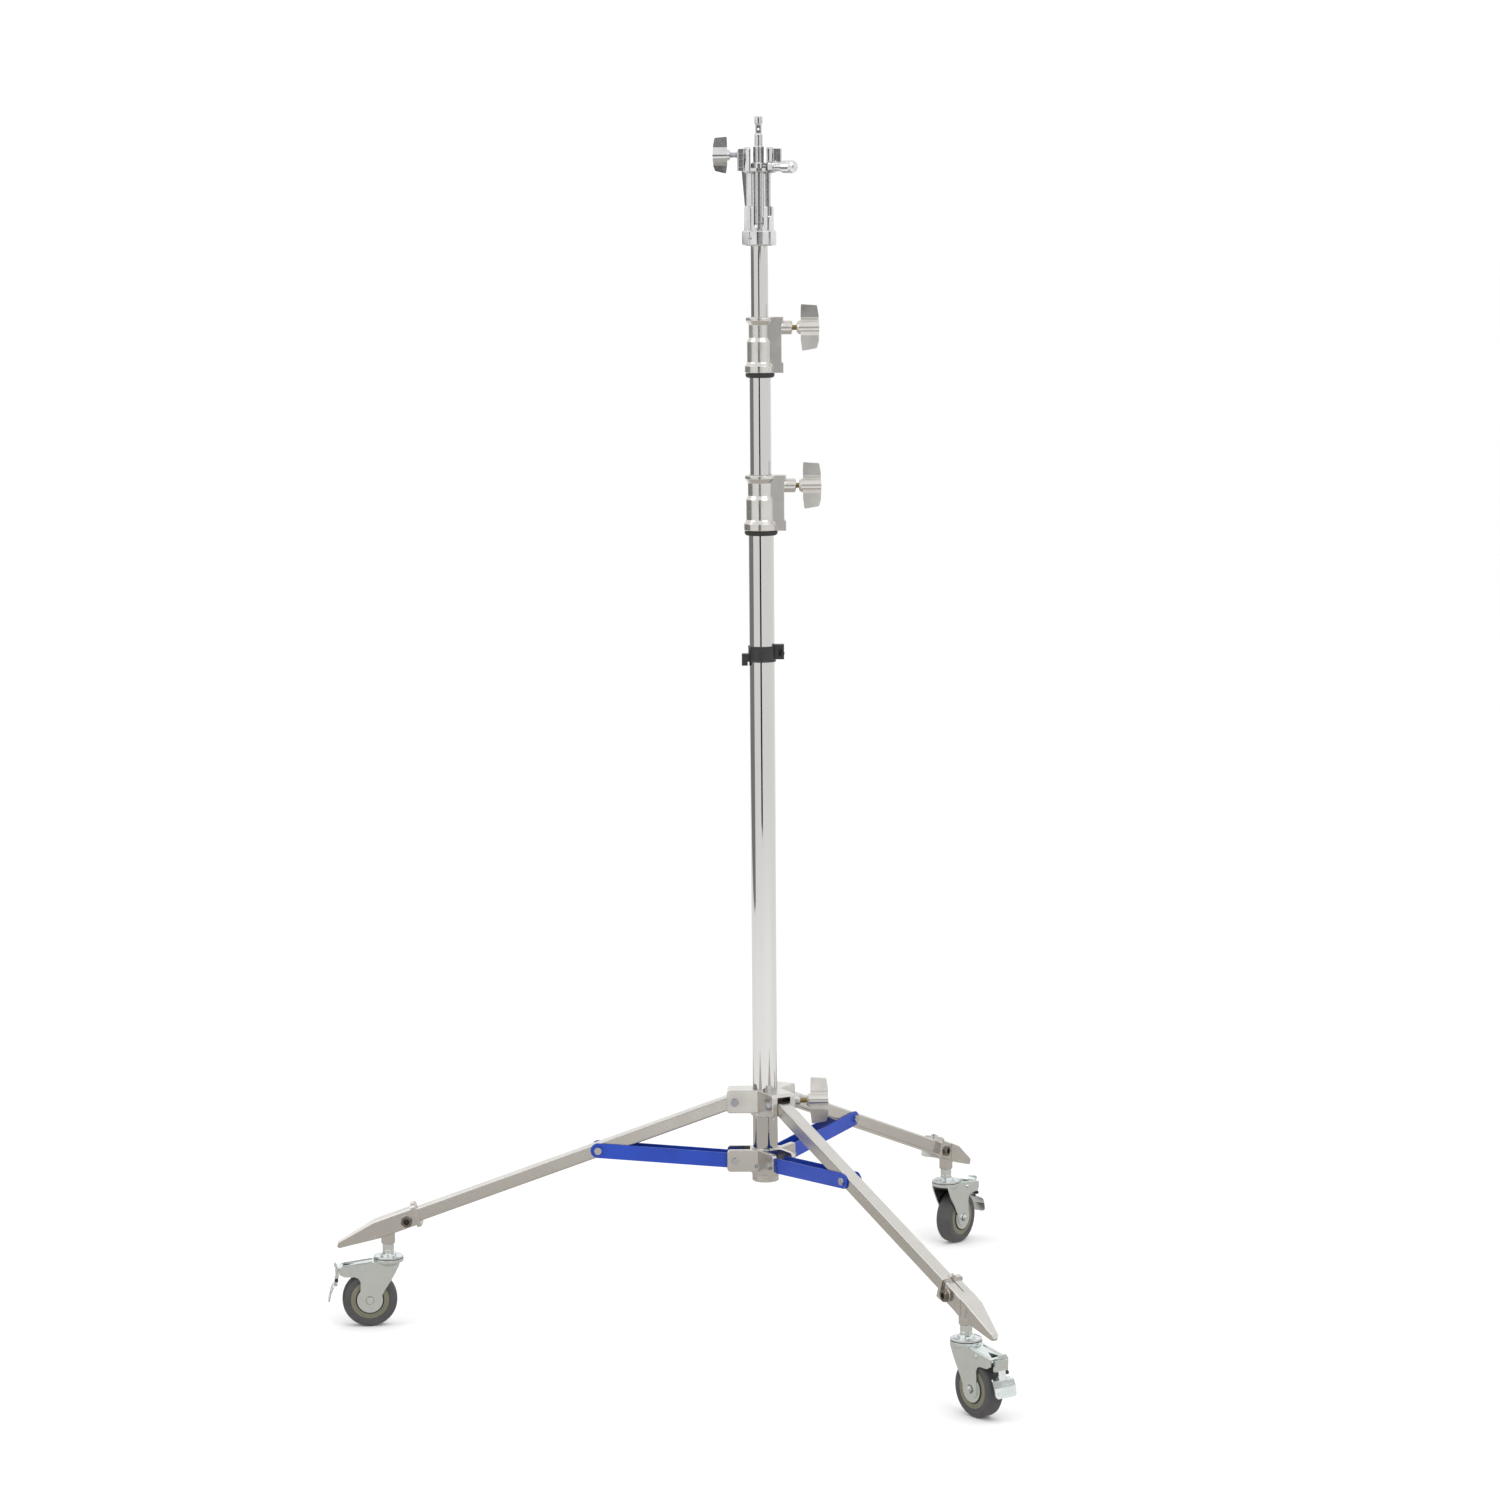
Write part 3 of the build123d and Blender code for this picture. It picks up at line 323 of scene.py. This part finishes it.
# ---- detail pieces -------------------------------------------------------------------------
def add_clamp_screws():
    """Threaded screws, each with its pressure pad, in place of the plain ones."""
    pitch, crest, root = 1.75 * MM, 4.98 * MM, 4.2 * MM
    pad_length, pad_radius = 2.0 * MM, crest - 0.5 * MM
    run_in, run_out = 2 * MM, 1 * MM
    rows_per_turn = 8
    for name in ("base", "mid", "hub", "head"):
        node = f"{name}_clamp_screw"
        low, high = (Vector(corner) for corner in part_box(node))
        away = -1 if name == "head" else 1
        length = high.x - low.x
        tip = Vector((low.x if away > 0 else high.x, 0, middle(node).z))

        def radius(height, angle, length=length):
            if height < pad_length:
                return pad_radius
            turn = (height / pitch + angle / FULL_TURN) % 1.0
            fade = min(1.0, (height - pad_length) / run_in, (length - height) / run_out)
            return root + (crest - root) * max(0.0, fade) * (1 - abs(2 * turn - 1))

        piece = spun(f"{name}_threaded_screw", f"{name}_clamp", SLOT_OF[node], length,
                     rows=int(length / pitch * rows_per_turn), columns=24, radius=radius,
                     place=pointing(tip, (away, 0, 0)))
        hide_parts(node)


def add_caster_dark_rings():
    """Each caster's dark rings: a black ring between its races that paints the shade of the gap, black
    rings in the wheel core's faces and dark washers round the axle's ends.
    """
    race_inner, race_outer, race_height, race_drop = 25.0 * MM, 27.15 * MM, 1.5 * MM, 0.55 * MM
    core_inner, core_outer, core_depth, core_start = 23.7 * MM, 25.5 * MM, 3.6 * MM, 10.2 * MM
    washer_inner, washer_outer, washer_depth, washer_start = 6.95 * MM, 7.7 * MM, 0.5 * MM, 19.5 * MM
    for side in SIDES:
        race = Vector(JOINTS[f"{side}_swivel"]["pos_m"])
        # Painted shade: a black ring in the gap between the races stands in for the shade there.
        hoop(f"{side}_race_gap_shade", f"{side}_caster", "black_rubber", race_inner, race_outer, race_height,
             Matrix.Translation(race - Vector((0, 0, race_drop))))
        spin = JOINTS[f"{side}_wheel_spin"]
        centre = Vector(spin["pos_m"])
        for end, sign in ENDS:
            outwards = Vector(spin["axis"]) * sign
            # Black rings set in the grooves of the wheel core's faces.
            hoop(f"{side}_hub_dark_ring_{end}", f"{side}_wheel", "black_rubber", core_inner, core_outer,
                 core_depth, pointing(centre + outwards * core_start, outwards))
            hoop(f"{side}_axle_washer_{end}", f"{side}_caster", "dark_bolt", washer_inner, washer_outer,
                 washer_depth, pointing(centre + outwards * washer_start, outwards))


def add_socket_shade():
    """Painted shade: black discs at the bottoms of the sockets in the foot bolts, standing in for the shade
    in them.
    """
    hole, socket, thickness, reach = 0.5 * MM, 5.5 * MM, 0.4 * MM, 21.25 * MM
    for side in SIDES:
        across = Vector(JOINTS[f"{side}_leg_hinge"]["axis"]).normalized()
        for end, sign in ENDS:
            outwards = across * sign
            hoop(f"{side}_bolt_socket_shade_{end}", f"{side}_leg", "black_rubber", hole, socket, thickness,
                 pointing(middle(f"{side}_foot_bolt") + outwards * reach, outwards))


def add_riser_liner():
    """The thin sleeve in the head between the riser's end and the pin's spigot."""
    inner, outer, length, gap = 13.7 * MM, 14.3 * MM, 7.0 * MM, 0.1 * MM
    riser_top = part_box("top_riser_tube")[1][2]
    hoop("riser_liner", "top_riser", "chrome_cast", inner, outer, length,
         Matrix.Translation((0, 0, riser_top + gap)))


def add_plunger_flutes():
    """A fluted sleeve round the plunger's grip."""
    start, length, rounding = 64.5 * MM, 17 * MM, 1.2 * MM
    sleeve, ridge, flute_depth, flutes = 11.2 * MM, 0.55 * MM, 0.25 * MM, 18
    axis = Vector(JOINTS["plunger_pull"]["axis"]).normalized()
    height_of_axis = middle("plunger_knob").z

    def radius(height, angle):
        fade = max(0.0, min(1.0, height / rounding, (length - height) / rounding))
        return sleeve + fade * (ridge + flute_depth * math.cos(flutes * angle))

    spun("plunger_flutes", "plunger", "chrome_cast", length, rows=20, columns=6 * flutes, radius=radius,
         place=pointing(Vector((0, 0, height_of_axis)) + axis * start, axis))


def add_brake_springs():
    """The black coil springs on both sides of each brake lever's end block."""
    block_height, block_reach, side_gap = 87 * MM, 95 * MM, 8.2 * MM
    length, pitch, core, wire = 6 * MM, 1.5 * MM, 2.6 * MM, 0.7 * MM

    def radius(height, angle):
        turn = (height / pitch + angle / FULL_TURN) % 1.0
        return core + wire * math.sin(math.pi * turn)

    for side in SIDES:
        press = JOINTS[f"{side}_brake_press"]
        stem = Vector(JOINTS[f"{side}_swivel"]["pos_m"])
        pivot = Vector(press["pos_m"])
        out = Vector((pivot.x - stem.x, pivot.y - stem.y, 0)).normalized()
        block = Vector((stem.x, stem.y, block_height)) + out * block_reach
        for end, sign in ENDS:
            outwards = Vector(press["axis"]) * sign
            spun(f"{side}_brake_spring_{end}", f"{side}_brake", "black_nylon", length, rows=32, columns=28,
                 radius=radius, place=pointing(block + outwards * side_gap, outwards))


add_clamp_screws()
add_caster_dark_rings()
add_socket_shade()
add_riser_liner()
add_plunger_flutes()
add_brake_springs()


# ---- floor, lights, camera -----------------------------------------------------------------
FLOOR_SIZE = 160
WORLD_STRENGTH = 1.08
LAMP_TARGET = Vector((0, 0, 0.9))
LAMPS = (   # name, place, size, power in watts
    ("key", (2.2, -3.0, 4.6), 2.6, 60),
    ("fill", (-3.4, -1.0, 3.6), 2.4, 25),
)

CAMERA_PLACE = Vector((0.097689, -8.111474, 2.113857))
CAMERA_FORWARD = Vector((-0.01470953, 0.99144928, -0.12966094))
CAMERA_UP = Vector((0.00540607, 0.12975194, 0.99153175))
CAMERA_LENS_MM = 109.51


def make_floor():
    """A pale matt floor that runs far past the stand."""
    bpy.ops.mesh.primitive_plane_add(size=FLOOR_SIZE, location=(0, 0, 0))
    floor = bpy.context.object
    floor.name = "floor"
    material, tree = new_tree("floor_paper")
    grain = tree.noise(2.0)
    colour = tree.blend(tree.spread(grain, 0.0, 1.0), (0.94, 0.94, 0.94), (0.93, 0.93, 0.93))
    rough = tree.spread(grain, 0.85, 0.95)
    tree.shader(colour, rough, tree.bump(grain, strength=0.01, distance=1 * MM), Specular_IOR_Level=0.1)
    floor.data.materials.append(material)


def grey(level):
    return (level, level, level)


def make_painted_reflection(name, location, size, colour, turn=0, tilt=90):
    """A sheet of flat colour, a studio flag or card, that only shows in reflections: it paints a reflection
    of its colour onto the metal, upright unless it is tilted.
    """
    bpy.ops.mesh.primitive_plane_add(size=1, location=location)
    flag = bpy.context.object
    flag.name = name
    flag.scale = (size[0], size[1], 1)
    flag.rotation_euler = (math.radians(tilt), 0, math.radians(turn))
    material = bpy.data.materials.new(name)
    material.use_nodes = True
    material.node_tree.nodes.clear()
    emission = material.node_tree.nodes.new("ShaderNodeEmission")
    emission.inputs["Color"].default_value = (*colour, 1)
    output = material.node_tree.nodes.new("ShaderNodeOutputMaterial")
    material.node_tree.links.new(emission.outputs[0], output.inputs["Surface"])
    flag.data.materials.append(material)
    flag.visible_camera = False
    flag.visible_diffuse = False
    flag.visible_shadow = False


def make_lights():
    """An even white surround and two soft square lamps aimed at the stand."""
    world = bpy.data.worlds.new("studio")
    bpy.context.scene.world = world
    world.use_nodes = True
    background = world.node_tree.nodes["Background"]
    background.inputs["Color"].default_value = (1, 1, 1, 1)
    background.inputs["Strength"].default_value = WORLD_STRENGTH
    for name, place, size, power in LAMPS:
        light = bpy.data.lights.new(name, "AREA")
        light.shape = "SQUARE"
        light.size = size
        light.energy = power
        lamp = bpy.data.objects.new(name, light)
        bpy.context.scene.collection.objects.link(lamp)
        lamp.location = place
        lamp.rotation_euler = (LAMP_TARGET - Vector(place)).to_track_quat("-Z", "Y").to_euler()


def make_camera():
    """The camera and the standard view transform."""
    camera = bpy.data.cameras.new("camera")
    camera.lens = CAMERA_LENS_MM
    camera.sensor_width = 36.0
    camera.clip_end = 300
    seat = bpy.data.objects.new("camera", camera)
    bpy.context.scene.collection.objects.link(seat)
    right = CAMERA_FORWARD.cross(CAMERA_UP)
    turn = Matrix((right, CAMERA_UP, -CAMERA_FORWARD)).transposed().to_4x4()
    seat.matrix_world = Matrix.Translation(CAMERA_PLACE) @ turn
    bpy.context.scene.camera = seat
    bpy.context.scene.view_settings.view_transform = "Standard"
    bpy.context.scene.view_settings.look = "None"


make_floor()
# Painted reflections: dark grey sheets seen only in reflections, which paint the dark bands on the chrome
# tubes, castings and head.
make_painted_reflection("flag_front", (-0.85, -6.0, 0.92), (1.5, 1.82), grey(0.01))
make_painted_reflection("flag_head_front", (-1.0, -6.0, 2.4), (1.1, 1.1), grey(0.02))
make_painted_reflection("flag_head", (1.2, -6.0, 2.4), (3.0, 1.2), grey(0.20))
make_painted_reflection("flag_left", (-4.6, 3.0, 0.93), (8.2, 1.86), grey(0.27), turn=90)
make_painted_reflection("flag_head_left", (-5.0, -2.4, 2.4), (0.9, 1.1), grey(0.10), turn=90)
make_painted_reflection("flag_head_right", (5.0, -1.4, 2.4), (1.6, 1.1), grey(0.16), turn=90)
make_painted_reflection("flag_back", (0.9, 6.0, 0.92), (0.8, 1.82), grey(0.03))
# Painted floor reflection: a warm grey sheet seen only in reflections, so the lower metal reflects a darker
# floor than the white one the camera sees.
make_painted_reflection("painted_floor_reflection", (0.0, 0.0, 0.001), (3.6, 3.8), (0.60, 0.57, 0.53), tilt=0)
make_lights()
make_camera()
